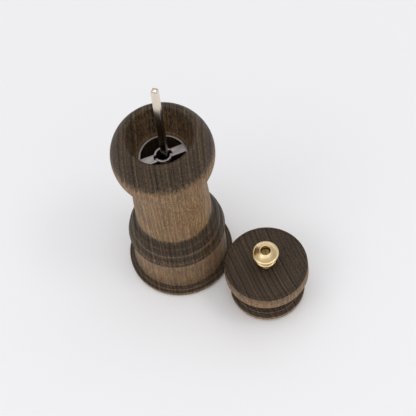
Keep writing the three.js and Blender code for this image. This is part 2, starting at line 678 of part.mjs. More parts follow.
function addCap(group) {
  const screwTop = DRIVE_HEAD_Z + DRIVE_HEAD_H + DRIVE_SCREW_REACH;
  const pilots = DRIVE_SCREWS.map(([x, y]) => moved(
    cylinder(SCREW_R + GAP, DRIVE_POCKET_H - 1, screwTop + GAP),
    x,
    y,
  ));
  piece('cap_wood', cut(turned(capOutline(), WOOD_FACETS), ...pilots), oak, group);

  const plate = cylinder(DRIVE_PLATE_R, DRIVE_PLATE_Z, DRIVE_PLATE_Z + DRIVE_PLATE_T, FINE_FACETS);
  const squareHole = box(SHAFT_A + 2 * GAP, SHAFT_A + 2 * GAP, DRIVE_PLATE_Z - 1, DRIVE_POCKET_H);
  const screwHoles = DRIVE_SCREWS.map(([x, y]) => moved(
    cylinder(SCREW_R + GAP, DRIVE_PLATE_Z - 1, DRIVE_POCKET_H),
    x,
    y,
  ));
  piece('drive_plate', cut(plate, squareHole, ...screwHoles), steel, group);
  DRIVE_SCREWS.forEach(([x, y], i) => {
    const screw = slottedScrew(x, y, DRIVE_HEAD_Z, DRIVE_HEAD_H, DRIVE_SCREW_REACH);
    piece(`drive_plate_screw_${i + 1}`, screw, steel, group);
  });
}

function addCapBush(group) {
  const bushZ = CAP_TOP_Z - CAP_BUSH_LENGTH;
  const bush = new THREE.Path();
  bush.moveTo(SHAFT_BORE_R, bushZ);
  bush.lineTo(CAP_BUSH_R, bushZ);
  bush.lineTo(CAP_BUSH_R, CAP_BUSH_FLANGE_Z);
  bush.lineTo(CAP_BUSH_FLANGE_R, CAP_BUSH_FLANGE_Z);
  bush.lineTo(CAP_BUSH_FLANGE_R, CAP_BUSH_FLANGE_Z + CAP_BUSH_FLANGE_T);
  bush.lineTo(SHAFT_BORE_R, CAP_BUSH_FLANGE_Z + CAP_BUSH_FLANGE_T);
  bush.lineTo(SHAFT_BORE_R, bushZ);
  piece('cap_bush', turned(bush, FINE_FACETS), brass, group);
}

// ---- Knob ----

function knobOutline() {
  const beadZ = KNOB_Z + KNOB_FOOT_H;
  const beadTopZ = beadZ + KNOB_BEAD_H;
  const flangeZ = beadTopZ + KNOB_NECK_H;
  const flangeTopZ = flangeZ + KNOB_FLANGE_T;
  const topZ = flangeTopZ + KNOB_CONE_H;
  const outline = new THREE.Path();
  outline.moveTo(KNOB_HOLE_R, KNOB_Z);
  outline.lineTo(KNOB_FOOT_R, KNOB_Z);
  outline.lineTo(KNOB_FOOT_R, beadZ);
  outline.lineTo(KNOB_BEAD_R - 0.5, beadZ);
  outline.quadraticCurveTo(KNOB_BEAD_R + 0.5, beadZ + KNOB_BEAD_H / 2, KNOB_BEAD_R - 0.5, beadTopZ);
  outline.lineTo(KNOB_NECK_R, beadTopZ + 0.2);
  outline.quadraticCurveTo(KNOB_NECK_R, flangeZ - 0.8, KNOB_FLANGE_R - 0.4, flangeZ);
  outline.quadraticCurveTo(KNOB_FLANGE_R + 0.4, flangeZ + KNOB_FLANGE_T / 2, KNOB_FLANGE_R - 0.4, flangeTopZ);
  outline.quadraticCurveTo(KNOB_RIM_R + 2, topZ - 0.9, KNOB_RIM_R, topZ - 0.2);
  outline.lineTo(KNOB_RIM_R - 0.2, topZ);
  outline.lineTo(KNOB_HOLE_R, topZ);
  outline.lineTo(KNOB_HOLE_R, KNOB_Z);
  return { outline, topZ };
}

function addKnob(group) {
  const washerR = SHAFT_BORE_R + KNOB_WASHER_W;
  const washer = ringOutline(SHAFT_BORE_R, washerR, KNOB_WASHER_Z, KNOB_WASHER_Z + KNOB_WASHER_T);
  piece('knob_washer', turned(washer), brass, group);

  const { outline, topZ } = knobOutline();
  piece('brass_knob', turned(outline, FINE_FACETS, 3), brass, group);

  const screwTopZ = topZ - LOCK_SCREW_DEPTH;
  const grub = cylinder(KNOB_HOLE_R - GAP, screwTopZ - LOCK_SCREW_H, screwTopZ);
  const slot = box(2 * KNOB_HOLE_R, SLOT_W, screwTopZ - SLOT_DEPTH, screwTopZ + SLOT_DEPTH);
  slot.rotateZ(Math.PI / 2);
  piece('lock_screw', cut(grub, slot), brass, group);
}

// ---- Assembly ----

const mill = new THREE.Group();
addWoodenBody(mill);
addGuidePlate(mill);
addStator(mill);
addFlangeAndBar(mill);
addBridge(mill);
addSpring(mill);

const spindle = new THREE.Group();
spindle.rotation.y = SHAFT_LEAN;
spindle.position.x = -LEAN_PIVOT_Z * Math.sin(SHAFT_LEAN);
spindle.position.z = LEAN_PIVOT_Z * (1 - Math.cos(SHAFT_LEAN));
addShaft(spindle);
addBurr(spindle);
mill.add(spindle);

const cap = new THREE.Group();
cap.position.set(CAP_X, CAP_Y, 0);
addCap(cap);
addCapBush(cap);
addKnob(cap);

const arrangement = new THREE.Group();
arrangement.add(mill, cap);
const middle = new THREE.Box3().setFromObject(arrangement).getCenter(new THREE.Vector3());
arrangement.position.set(-middle.x, -middle.y, 0);

export default arrangement;
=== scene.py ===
# A turned oak pepper mill, its cap lifted off and stood beside it, on a pale studio table.
import math

import bmesh
import bpy
from mathutils import Matrix, Vector
from mathutils.geometry import interpolate_bezier


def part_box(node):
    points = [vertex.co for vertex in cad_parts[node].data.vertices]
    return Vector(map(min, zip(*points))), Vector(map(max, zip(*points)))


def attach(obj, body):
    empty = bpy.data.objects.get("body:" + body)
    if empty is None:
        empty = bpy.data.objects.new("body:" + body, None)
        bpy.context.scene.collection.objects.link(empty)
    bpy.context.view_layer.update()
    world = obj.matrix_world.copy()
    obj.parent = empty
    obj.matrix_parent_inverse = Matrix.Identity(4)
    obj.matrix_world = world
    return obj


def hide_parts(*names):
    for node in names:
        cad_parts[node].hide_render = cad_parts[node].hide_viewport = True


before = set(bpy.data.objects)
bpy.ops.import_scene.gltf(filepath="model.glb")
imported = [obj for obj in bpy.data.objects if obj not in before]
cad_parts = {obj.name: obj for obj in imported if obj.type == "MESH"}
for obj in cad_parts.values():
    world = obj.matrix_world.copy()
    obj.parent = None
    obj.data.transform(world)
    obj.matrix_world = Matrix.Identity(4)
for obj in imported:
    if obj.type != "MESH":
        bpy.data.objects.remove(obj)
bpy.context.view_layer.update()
MM = 0.001


# ---- Table, light and camera ----
# The table is a sheet of white card in a pale, even room, under a very big soft box. Two smaller
# soft boxes, right and left of the camera, give the two faint shadows on the card.
def linear(hex_colour):
    """An sRGB hex colour as linear RGBA."""
    parts = [int(hex_colour[i : i + 2], 16) / 255 for i in (1, 3, 5)]
    return [c / 12.92 if c <= 0.04045 else ((c + 0.055) / 1.055) ** 2.4 for c in parts] + [1]


def add(tree, kind, inputs=None, **settings):
    """Adds a node. Settings name its properties or inputs. Each of the other inputs, by name or
    number, is joined to a socket or set to a number, a vector or a hex colour."""
    node = tree.nodes.new(kind)
    for name, value in settings.items():
        if hasattr(node, name):
            setattr(node, name, value)
        else:
            node.inputs[name.replace("_", " ")].default_value = value
    for key, value in (inputs or {}).items():
        if isinstance(value, bpy.types.NodeSocket):
            tree.links.new(value, node.inputs[key])
        else:
            node.inputs[key].default_value = linear(value) if isinstance(value, str) else value
    return node


def new_material(name, **settings):
    """A material with one principled shader, and its node tree."""
    material = bpy.data.materials.new(name)
    material.use_nodes = True
    tree = material.node_tree
    shader = tree.nodes["Principled BSDF"]
    for key, value in settings.items():
        shader.inputs[key.replace("_", " ")].default_value = value
    return material, tree, shader


FLOOR_HALF = 2.5
CARD_COLOUR = "#F7F7F9"
bm = bmesh.new()
bmesh.ops.create_grid(bm, x_segments=2, y_segments=2, size=FLOOR_HALF)
card_mesh = bpy.data.meshes.new("table_card")
bm.to_mesh(card_mesh)
bm.free()
table_card = bpy.data.objects.new("table_card", card_mesh)
bpy.context.collection.objects.link(table_card)
card_material, _, _ = new_material(
    "matt_card",
    Base_Color=linear(CARD_COLOUR),
    Roughness=0.9,
    Specular_IOR_Level=0.1,
)
table_card.data.materials.append(card_material)

ROOM_COLOUR = "#FCFDFF"
ROOM_BRIGHT = 0.66
ROOM_DARK = 0.47
DARK_BELOW = 0.05
BRIGHT_ABOVE = 0.75
room = bpy.data.worlds.new("pale_room")
room.use_nodes = True
bpy.context.scene.world = room
direction = add(room.node_tree, "ShaderNodeTexCoord")
height = add(room.node_tree, "ShaderNodeSeparateXYZ", {"Vector": direction.outputs["Generated"]})
strength = add(
    room.node_tree,
    "ShaderNodeMapRange",
    {"Value": height.outputs["Z"]},
    interpolation_type="SMOOTHSTEP",
    From_Min=DARK_BELOW,
    From_Max=BRIGHT_ABOVE,
    To_Min=ROOM_DARK,
    To_Max=ROOM_BRIGHT,
)
background = room.node_tree.nodes["Background"]
background.inputs["Color"].default_value = linear(ROOM_COLOUR)
room.node_tree.links.new(strength.outputs["Result"], background.inputs["Strength"])
bpy.context.scene.view_settings.view_transform = "Standard"


def soft_box(name, at, target, side, watts, colour):
    """A square soft box that points at its target. Lengths are in metres."""
    light = bpy.data.lights.new(name, "AREA")
    light.shape = "RECTANGLE"
    light.size = light.size_y = side
    light.energy = watts
    light.color = linear(colour)[:3]
    lamp = bpy.data.objects.new(name, light)
    lamp.location = at
    lamp.rotation_euler = (Vector(target) - Vector(at)).to_track_quat("-Z", "Y").to_euler()
    bpy.context.collection.objects.link(lamp)


soft_box("soft_box_top", (0, -0.25, 1.5), (0, 0, 0), side=2.2, watts=9.2, colour="#FFFEFC")
soft_box("soft_box_right", (0.62, -0.23, 1.26), (0, 0, 0), side=0.32, watts=1.5, colour="#FFFCF8")
soft_box("soft_box_left", (-0.80, -0.40, 0.95), (0, 0, 0.05), side=0.6, watts=1.2, colour="#FFFAF6")

# The camera is placed from the mill's own axis, in millimetres, and rolled a little.
mill_low, mill_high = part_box("wooden_body")
mill_axis = ((mill_low[0] + mill_high[0]) / 2, (mill_low[1] + mill_high[1]) / 2)
CAMERA_FROM_MILL = (18.8, -313.0, 566.1)
CAMERA_LOOKS_DOWN = 59.07
CAMERA_ROLL = -0.143056
CAMERA_SENSOR = 36
CAMERA_LENS = 95.2
camera = bpy.data.objects.new("camera", bpy.data.cameras.new("camera"))
camera.data.sensor_width = CAMERA_SENSOR
camera.data.lens = CAMERA_LENS
camera.matrix_world = (
    Matrix.Translation(Vector(CAMERA_FROM_MILL) * MM + Vector((*mill_axis, 0)))
    @ Matrix.Rotation(math.radians(90 - CAMERA_LOOKS_DOWN), 4, "X")
    @ Matrix.Rotation(CAMERA_ROLL, 4, "Z")
)
bpy.context.collection.objects.link(camera)
bpy.context.scene.camera = camera


# ---- Wooden body ----
# One piece of oak, turned between centres, bored right through, then stained dark and oiled.
# The stain sinks deepest where end grain faces up, so tops are nearly black and sides are tan.
ROUNDING_STEPS = 3


def softened(corners):
    """A closed outline. Its corners are (radius, height, rounding) in millimetres, and each rounded
    one becomes a curve."""
    points = []
    count = len(corners)
    for i, (radius, z, rounding) in enumerate(corners):
        corner = Vector((radius, z))
        last = Vector(corners[i - 1][:2])
        following = Vector(corners[(i + 1) % count][:2])
        if rounding == 0:
            points.append(corner)
            continue
        before = corner + (last - corner).normalized() * min(rounding, (last - corner).length / 2)
        after = corner + (following - corner).normalized() * min(rounding, (following - corner).length / 2)
        for n in range(ROUNDING_STEPS + 1):
            share = n / ROUNDING_STEPS
            points.append(before.lerp(corner, share).lerp(corner.lerp(after, share), share))
    return points


def bend(start, handle, other_handle, end, steps=10):
    """The inner points of a curve between two points, as corners that need no rounding."""
    knots = [Vector((r, z, 0)) for r, z in (start, handle, other_handle, end)]
    return [(p.x, p.y, 0) for p in interpolate_bezier(*knots, steps + 2)[1:-1]]


def arc(centre, radii, start, end, steps):
    """Corners along an elliptical arc. The angles are in radians, and 0 points outwards."""
    angles = [start + (end - start) * n / steps for n in range(steps + 1)]
    return [(centre[0] + radii[0] * math.cos(t), centre[1] + radii[1] * math.sin(t), 0) for t in angles]


def turned(name, outline, axis, segments):
    """Spins a closed outline round a vertical axis, and returns the finished smooth object."""
    bm = bmesh.new()
    verts = [bm.verts.new((axis[0] + p.x * MM, axis[1], p.y * MM)) for p in outline]
    edges = [bm.edges.new(pair) for pair in zip(verts, verts[1:] + verts[:1])]
    bmesh.ops.spin(
        bm,
        geom=verts + edges,
        cent=(axis[0], axis[1], 0),
        axis=(0, 0, 1),
        angle=2 * math.pi,
        steps=segments,
        use_merge=True,
    )
    bmesh.ops.remove_doubles(bm, verts=bm.verts, dist=1e-7)
    return finished(name, bm)


def finished(name, bm, sharp_above=38):
    """Makes an object of a bmesh, smooth except at its sharp edges."""
    bmesh.ops.recalc_face_normals(bm, faces=bm.faces)
    mesh = bpy.data.meshes.new(name)
    bm.to_mesh(mesh)
    bm.free()
    mesh.shade_smooth()
    mesh.set_sharp_from_angle(angle=math.radians(sharp_above))
    piece = bpy.data.objects.new(name, mesh)
    bpy.context.collection.objects.link(piece)
    return piece


def place(piece, material, body, slot, *replaced):
    """Gives a finished piece its material, its body and the nodes that it stands for. Its slot is not used.
    """
    piece.data.materials.clear()
    piece.data.materials.append(material)
    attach(piece, body)
    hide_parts(*replaced)


# Oak, ring-porous and open-grained. The growth rings show as thin, nearly straight dark and tan
# lines on tops. The pores run up the wood as short streaks on the sides, and where a side is cut
# along the rays, these show as a mottle of small dark loops. Lengths are in millimetres, sizes are
# width and length up the trunk, and pores are drawn coarser than life so that they show.
RING_SPACING = 2.2
RING_WANDER = 4.0
RING_RIPPLE = 0.5
RING_UNEVEN = 3.0
RING_GROOVE = 0.5
WANDER_SIZE = (60.0, 150.0)
RIPPLE_SIZE = (9.0, 40.0)
BLOTCH_SIZE = (16.0, 30.0)
PORE_SIZE = (0.55, 2.6)
PORE_DEPTH = 0.06
STREAK_SIZE = (0.9, 11.0)
STREAK_STRENGTH = 0.75
FLECK_SIZE = (2.2, 2.2, 3.0)
FLECK_LOOPS = 7.0
KNOT_SIZE = (10.0, 30.0, 13.0)
KNOT_PULL = 7.0
KNOT_DARKENS = 1.5
SEED_STEP = 40.0
# Years are told apart by noise along the rings: where it is read, and how fast it changes
UNEVEN_YEARS = (0.0, 0.22)
DARK_YEARS = (300.0, 0.33)
PALE_YEARS = (500.0, 0.40)
# The levels of its pattern at which each mark starts to show and shows in full
FADES = {
    "dark_year": (0.36, 0.60),
    "dark_line": (0.48, 0.12),
    "pale_year": (0.44, 0.62),
    "pale_line": (0.74, 1.02),
    "pore": (0.51, 0.59),
    # The glint is a painted highlight: pale speckle between the pores
    "painted_glint": (0.46, 0.36),
    "streak": (0.38, 0.64),
    "front": (0.80, 0.99),
    "fleck_patch": (0.42, 0.56),
    "fleck_loop": (0.17, 0.04),
    "stain": (0.02, 0.31),
}
# The marks on each face in the order that they are laid, with their strength and colour
BASE, DARK, PALE = 0, 1, 2
SIDE_MARKS = (
    ("dark_line", 0.55, DARK),
    ("pale_line", 0.45, PALE),
    ("fleck_loop", 0.75, DARK),
    ("pore", 0.72, DARK),
)
TOP_MARKS = (
    ("dark_line", 0.90, DARK),
    ("pale_line", 0.80, PALE),
    ("pore", 0.85, DARK),
    # The glint on tops is a painted highlight
    ("painted_glint", 0.30, PALE),
)
# The stain's edge is ragged. Painted shade darkens the bore, and the wood is a little darker below the foot,
# each at a soft edge
STAIN_RAGGED = 0.55
RAGGED_PORES = 0.6
RAGGED_MIDDLE = 0.8
BLOTCH_LEVELS = (0.3, 0.7)
BLOTCH_SHADE = (0.88, 1.10)
BORE_EDGE = 0.3
BORE_PAINTED_SHADE = (0.15, 1.0)
FOOT_EDGE = 4.0
FOOT_SHADE = (0.84, 1.0)


def stained_oak(name, axis, bore_r, foot_z, pith, tilt, seed, side, top, knot):
    """Pith is the tree's heart and knot a small knot, both in millimetres from the piece's axis, and
    tilt how the grain leans, in radians. Side and top are each a base, a dark line and a light
    line. Inside bore_r painted shade makes the wood nearly black, and below foot_z it is a little darker."""
    material, tree, shader = new_material(name, Roughness=0.58, Specular_IOR_Level=0.28)
    coords = add(tree, "ShaderNodeTexCoord")
    facing = add(tree, "ShaderNodeSeparateXYZ", {"Vector": coords.outputs["Normal"]})
    height = add(tree, "ShaderNodeSeparateXYZ", {"Vector": coords.outputs["Object"]})
    grain = add(
        tree,
        "ShaderNodeMapping",
        {"Vector": coords.outputs["Object"]},
        Scale=(1 / MM, 1 / MM, 1 / MM),
        Location=(-pith[0] - axis[0] / MM, -pith[1] - axis[1] / MM, seed * SEED_STEP),
        Rotation=(*tilt, 0),
    )

    def stretched(size, detail, roughness=0.6):
        """The level of a pattern drawn out up the trunk, with features of this size."""
        width, length = size
        stretch = add(
            tree,
            "ShaderNodeMapping",
            {"Vector": grain.outputs["Vector"]},
            Scale=(1 / width, 1 / width, 1 / length),
        )
        noise = add(
            tree,
            "ShaderNodeTexNoise",
            {"Vector": stretch.outputs["Vector"]},
            Scale=1.0,
            Detail=detail,
            Roughness=roughness,
        )
        return noise.outputs["Fac"]

    # Growth rings: distance from the pith, with a slow wander, and pushed aside round a knot
    across = add(
        tree, "ShaderNodeVectorMath", {0: grain.outputs["Vector"], 1: (1, 1, 0)}, operation="MULTIPLY"
    )
    from_pith = add(tree, "ShaderNodeVectorMath", {0: across.outputs["Vector"]}, operation="LENGTH")
    knot_at = (knot[0] + axis[0] / MM, knot[1] + axis[1] / MM, knot[2])
    knot_place = add(
        tree,
        "ShaderNodeMapping",
        {"Vector": coords.outputs["Object"]},
        Scale=tuple(1 / (size * MM) for size in KNOT_SIZE),
        Location=tuple(-at / size for at, size in zip(knot_at, KNOT_SIZE)),
    )
    round_knot = add(
        tree,
        "ShaderNodeTexGradient",
        {"Vector": knot_place.outputs["Vector"]},
        gradient_type="QUADRATIC_SPHERE",
    )
    ring_mm = from_pith.outputs["Value"]
    for pattern, reach in (
        (stretched(WANDER_SIZE, detail=1.0), RING_WANDER),
        (stretched(RIPPLE_SIZE, detail=1.0), RING_RIPPLE),
        (round_knot.outputs["Fac"], KNOT_PULL),
    ):
        moved = add(tree, "ShaderNodeMath", {0: pattern, 1: reach, 2: ring_mm}, operation="MULTIPLY_ADD")
        ring_mm = moved.outputs["Value"]

    def year(offset, scale):
        """The level of a pattern that is the same all round one growth ring."""
        read_at = add(tree, "ShaderNodeMath", {0: ring_mm, 1: offset}, operation="ADD")
        noise = add(
            tree,
            "ShaderNodeTexNoise",
            {"W": read_at.outputs["Value"]},
            noise_dimensions="1D",
            Scale=scale,
            Detail=2.0,
        )
        return noise.outputs["Fac"]

    uneven = add(
        tree,
        "ShaderNodeMath",
        {0: year(*UNEVEN_YEARS), 1: RING_UNEVEN, 2: ring_mm},
        operation="MULTIPLY_ADD",
    )
    in_ring = add(
        tree, "ShaderNodeMath", {0: uneven.outputs["Value"], 1: RING_SPACING / 2}, operation="PINGPONG"
    )

    # Pores and streaks up the wood, and ray fleck where the side faces along the rings
    pores = stretched(PORE_SIZE, detail=3.0, roughness=0.75)
    streaks = stretched(STREAK_SIZE, detail=3.0)
    blotch = stretched(BLOTCH_SIZE, detail=3.0)
    front = add(tree, "ShaderNodeMath", {0: facing.outputs["Y"]}, operation="ABSOLUTE")
    fleck_place = add(
        tree,
        "ShaderNodeMapping",
        {"Vector": grain.outputs["Vector"]},
        Scale=tuple(1 / size for size in FLECK_SIZE),
    )
    fleck = add(
        tree,
        "ShaderNodeTexNoise",
        {"Vector": fleck_place.outputs["Vector"]},
        Scale=1.0,
        Detail=2.0,
        Distortion=0.6,
    )
    folds = add(tree, "ShaderNodeMath", {0: fleck.outputs["Fac"], 1: FLECK_LOOPS}, operation="MULTIPLY")
    loops = add(tree, "ShaderNodeMath", {0: folds.outputs["Value"], 1: 0.5}, operation="PINGPONG")

    # How far the surface looks up decides how much stain it holds, with a ragged edge
    rough_edge = add(
        tree, "ShaderNodeMath", {0: pores, 1: RAGGED_PORES, 2: streaks}, operation="MULTIPLY_ADD"
    )
    ragged = add(
        tree, "ShaderNodeMath", {0: rough_edge.outputs["Value"], 1: RAGGED_MIDDLE}, operation="SUBTRACT"
    )
    looks_up = add(
        tree,
        "ShaderNodeMath",
        {0: ragged.outputs["Value"], 1: STAIN_RAGGED, 2: facing.outputs["Z"]},
        operation="MULTIPLY_ADD",
    )

    # How much of each mark shows
    patterns = {
        "dark_year": year(*DARK_YEARS),
        "dark_line": in_ring.outputs["Value"],
        "pale_year": year(*PALE_YEARS),
        "pale_line": in_ring.outputs["Value"],
        "pore": pores,
        # The glint, a painted highlight, is read from the pores
        "painted_glint": pores,
        "streak": streaks,
        "front": front.outputs["Value"],
        "fleck_patch": blotch,
        "fleck_loop": loops.outputs["Value"],
        "stain": looks_up.outputs["Value"],
    }
    shown = {}
    for mark, (start, full) in FADES.items():
        fade = add(
            tree,
            "ShaderNodeMapRange",
            {"Value": patterns[mark]},
            interpolation_type="SMOOTHSTEP",
            From_Min=start,
            From_Max=full,
        )
        shown[mark] = fade.outputs["Result"]

    # Rings are dark round the knot, and a line or a fleck shows only in some years or patches
    knotty = add(
        tree,
        "ShaderNodeMath",
        {0: round_knot.outputs["Fac"], 1: KNOT_DARKENS, 2: shown["dark_year"]},
        operation="MULTIPLY_ADD",
    )
    in_full = add(tree, "ShaderNodeMath", {0: knotty.outputs["Value"], 1: 1.0}, operation="MINIMUM")
    shown["dark_year"] = in_full.outputs["Value"]
    for mark, limit in (
        ("dark_line", "dark_year"),
        ("pale_line", "pale_year"),
        ("fleck_patch", "front"),
        ("fleck_loop", "fleck_patch"),
    ):
        kept = add(tree, "ShaderNodeMath", {0: shown[mark], 1: shown[limit]}, operation="MULTIPLY")
        shown[mark] = kept.outputs["Value"]

    def marked(colour, marks, colours):
        """Lays marks over a colour, one after another."""
        for mark, strength, which in marks:
            amount = add(tree, "ShaderNodeMath", {0: shown[mark], 1: strength}, operation="MULTIPLY")
            laid = add(
                tree,
                "ShaderNodeMix",
                {"Factor": amount.outputs["Value"], "A": colour, "B": colours[which]},
                data_type="RGBA",
            )
            colour = laid.outputs["Result"]
        return colour

    streaked = add(
        tree,
        "ShaderNodeMath",
        {0: shown["streak"], 1: STREAK_STRENGTH, 2: 1 - STREAK_STRENGTH},
        operation="MULTIPLY_ADD",
    )
    side_base = add(
        tree,
        "ShaderNodeMix",
        {"Factor": streaked.outputs["Value"], "A": side[DARK], "B": side[BASE]},
        data_type="RGBA",
    )
    stained = add(
        tree,
        "ShaderNodeMix",
        {
            "Factor": shown["stain"],
            "A": marked(side_base.outputs["Result"], SIDE_MARKS, side),
            "B": marked(top[BASE], TOP_MARKS, top),
        },
        data_type="RGBA",
    )

    # Shade over all of it: patchy, nearly black in the bore with painted shade, and a little darker at the
    # foot
    from_axis = add(
        tree, "ShaderNodeVectorMath", {0: coords.outputs["Object"], 1: (*axis, 0)}, operation="SUBTRACT"
    )
    level = add(
        tree, "ShaderNodeVectorMath", {0: from_axis.outputs["Vector"], 1: (1, 1, 0)}, operation="MULTIPLY"
    )
    radius = add(tree, "ShaderNodeVectorMath", {0: level.outputs["Vector"]}, operation="LENGTH")
    shades = []
    for value, (start, full), (darkest, lightest) in (
        (blotch, BLOTCH_LEVELS, BLOTCH_SHADE),
        # Painted shade: the wood is nearly black inside the bore
        (radius.outputs["Value"], (bore_r * MM, (bore_r + BORE_EDGE) * MM), BORE_PAINTED_SHADE),
        (height.outputs["Z"], ((foot_z - FOOT_EDGE) * MM, (foot_z + FOOT_EDGE) * MM), FOOT_SHADE),
    ):
        edge = add(
            tree,
            "ShaderNodeMapRange",
            {"Value": value},
            interpolation_type="SMOOTHSTEP",
            From_Min=start,
            From_Max=full,
            To_Min=darkest,
            To_Max=lightest,
        )
        shades.append(edge.outputs["Result"])
    shade = shades[0]
    for other in shades[1:]:
        darker = add(tree, "ShaderNodeMath", {0: shade, 1: other}, operation="MULTIPLY")
        shade = darker.outputs["Value"]
    tinted = add(
        tree, "ShaderNodeVectorMath", {0: stained.outputs["Result"], 1: shade}, operation="MULTIPLY"
    )
    tree.links.new(tinted.outputs["Vector"], shader.inputs["Base Color"])

    ring_groove = add(
        tree, "ShaderNodeMath", {0: shown["dark_line"], 1: -RING_GROOVE}, operation="MULTIPLY"
    )
    groove = add(
        tree, "ShaderNodeMath", {0: ring_groove.outputs["Value"], 1: shown["pore"]}, operation="SUBTRACT"
    )
    bump = add(
        tree,
        "ShaderNodeBump",
        {"Height": groove.outputs["Value"]},
        Strength=0.3,
        Distance=PORE_DEPTH * MM,
    )
    tree.links.new(bump.outputs["Normal"], shader.inputs["Normal"])
    return material


WOOD_SEGMENTS = 192
FOOT_R = 30.0
FOOT_BAND_H = 4.2
BEAD_R = 28.4
BEAD_TOP_Z = 6.6
DRUM_FOOT = (26.9, 8.2)
DRUM_HOLLOW_R = 25.3
COLLAR = (27.3, 30.5)
MIDDLE_BAND = (25.0, 36.8)
TOP_BAND = (22.8, 42.7)
BAND_STEP = 0.4
WAIST_FOOT = (20.7, 47.7)
NECK = (20.0, 73.0)
BULB_R = 26.8
BULB_Z = 103.6
BULB_UPPER_H = 23.85
BULB_FOOT_ANGLE = math.radians(35)
LIP_ROUND = 2.0
LIP_ANGLE = math.radians(45)
BOWL_FLOOR_Z = 103.8
PLATE_SEAT_R = 13.3
PLATE_LEDGE_Z = 100.4
HOPPER_R = 12.0
STATOR_SEAT_Z = 24.0
STATOR_BORE_R = 16.0
RECESS_R = 21.5
RECESS_H = 7.0

bulb_foot = (BULB_R * math.cos(BULB_FOOT_ANGLE), BULB_Z - BULB_R * math.sin(BULB_FOOT_ANGLE))
bulb_end = math.atan(BULB_UPPER_H / BULB_R * math.tan(LIP_ANGLE))
lip_centre = (
    BULB_R * math.cos(bulb_end) - LIP_ROUND * math.cos(LIP_ANGLE),
    BULB_Z + BULB_UPPER_H * math.sin(bulb_end) - LIP_ROUND * math.sin(LIP_ANGLE),
)
mouth_r = lip_centre[0] - LIP_ROUND
bowl_slope = math.atan2(mouth_r - PLATE_SEAT_R, lip_centre[1] - BOWL_FLOOR_Z)
body_outline = [
    (RECESS_R, 0, 0.5),
    (FOOT_R - 1.2, 0, 0.3),
    (FOOT_R, 1.2, 1.0),
    (FOOT_R, FOOT_BAND_H, 0.5),
    (BEAD_R, FOOT_BAND_H + 0.1, 0.15),
    (BEAD_R + 0.1, BEAD_TOP_Z - 0.4, 1.0),
    (BEAD_R - 1.2, BEAD_TOP_Z, 0.4),
    (DRUM_FOOT[0], DRUM_FOOT[1] - 0.4, 0.6),
    *bend(
        DRUM_FOOT,
        (DRUM_HOLLOW_R + 0.4, DRUM_FOOT[1] + 8),
        (DRUM_HOLLOW_R + 0.6, COLLAR[1] - 9),
        (COLLAR[0] - 0.1, COLLAR[1] - 0.5),
    ),
    (COLLAR[0], COLLAR[1] - 0.1, 0.2),
    *bend(
        (COLLAR[0] - 0.3, COLLAR[1] + 0.4),
        (COLLAR[0] - 0.6, COLLAR[1] + 2.6),
        (MIDDLE_BAND[0] + 1.2, MIDDLE_BAND[1] - 1.4),
        (MIDDLE_BAND[0] + BAND_STEP, MIDDLE_BAND[1] - 0.5),
        steps=6,
    ),
    (MIDDLE_BAND[0] + BAND_STEP, MIDDLE_BAND[1] - 0.5, 0),
    (MIDDLE_BAND[0] + BAND_STEP, MIDDLE_BAND[1], 0.15),
    (MIDDLE_BAND[0], MIDDLE_BAND[1] + 0.1, 0.1),
    (MIDDLE_BAND[0], MIDDLE_BAND[1] + 0.7, 0.2),
    *bend(
        (MIDDLE_BAND[0], MIDDLE_BAND[1] + 0.7),
        (MIDDLE_BAND[0] - 0.3, MIDDLE_BAND[1] + 3),
        (TOP_BAND[0] + 1.0, TOP_BAND[1] - 1.6),
        (TOP_BAND[0] + BAND_STEP, TOP_BAND[1] - 0.4),
        steps=6,
    ),
    (TOP_BAND[0] + BAND_STEP, TOP_BAND[1] - 0.4, 0),
    (TOP_BAND[0] + BAND_STEP, TOP_BAND[1], 0.15),
    (TOP_BAND[0], TOP_BAND[1] + 0.1, 0.1),
    (TOP_BAND[0], TOP_BAND[1] + 0.4, 0.1),
    *bend(
        (TOP_BAND[0], TOP_BAND[1] + 0.4),
        (TOP_BAND[0] - 1.0, TOP_BAND[1] + 0.7),
        (WAIST_FOOT[0] + 0.5, WAIST_FOOT[1] - 2.2),
        (WAIST_FOOT[0] + 0.05, WAIST_FOOT[1] - 0.2),
        steps=8,
    ),
    (*WAIST_FOOT, 0),
    *bend(
        WAIST_FOOT,
        (WAIST_FOOT[0] + 0.35, WAIST_FOOT[1] + 8),
        (NECK[0] + 0.6, NECK[1] - 8),
        NECK,
        steps=16,
    ),
    (*NECK, 0),
    *bend(NECK, (NECK[0] - 0.3, NECK[1] + 6), (bulb_foot[0] - 2.6, bulb_foot[1] - 3.7), bulb_foot, steps=16),
    *arc((0, BULB_Z), (BULB_R, BULB_R), -BULB_FOOT_ANGLE, 0, steps=12),
    *arc((0, BULB_Z), (BULB_R, BULB_UPPER_H), 0, bulb_end, steps=16)[1:],
    *arc(lip_centre, (LIP_ROUND, LIP_ROUND), LIP_ANGLE, math.pi - bowl_slope, steps=14)[1:],
    (PLATE_SEAT_R, BOWL_FLOOR_Z, 0.3),
    (PLATE_SEAT_R, PLATE_LEDGE_Z, 0),
    (HOPPER_R, PLATE_LEDGE_Z, 0.3),
    (HOPPER_R, STATOR_SEAT_Z, 0.3),
    (STATOR_BORE_R, STATOR_SEAT_Z, 0),
    (STATOR_BORE_R, RECESS_H, 0.3),
    (RECESS_R, RECESS_H, 0),
]
body_oak = stained_oak(
    "stained_oak_body",
    axis=mill_axis,
    bore_r=12.4,
    foot_z=48.0,
    pith=(210.0, -12.0),
    tilt=(0.012, -0.02),
    seed=1,
    side=("#AA8962", "#694E35", "#C2A077"),
    top=("#483A2B", "#1A120B", "#7A5E40"),
    knot=(11.7, -16.6, 69.3),
)
wooden_body = turned("turned_body", softened(body_outline), mill_axis, WOOD_SEGMENTS)
place(wooden_body, body_oak, "mill_body", "oak", "wooden_body")

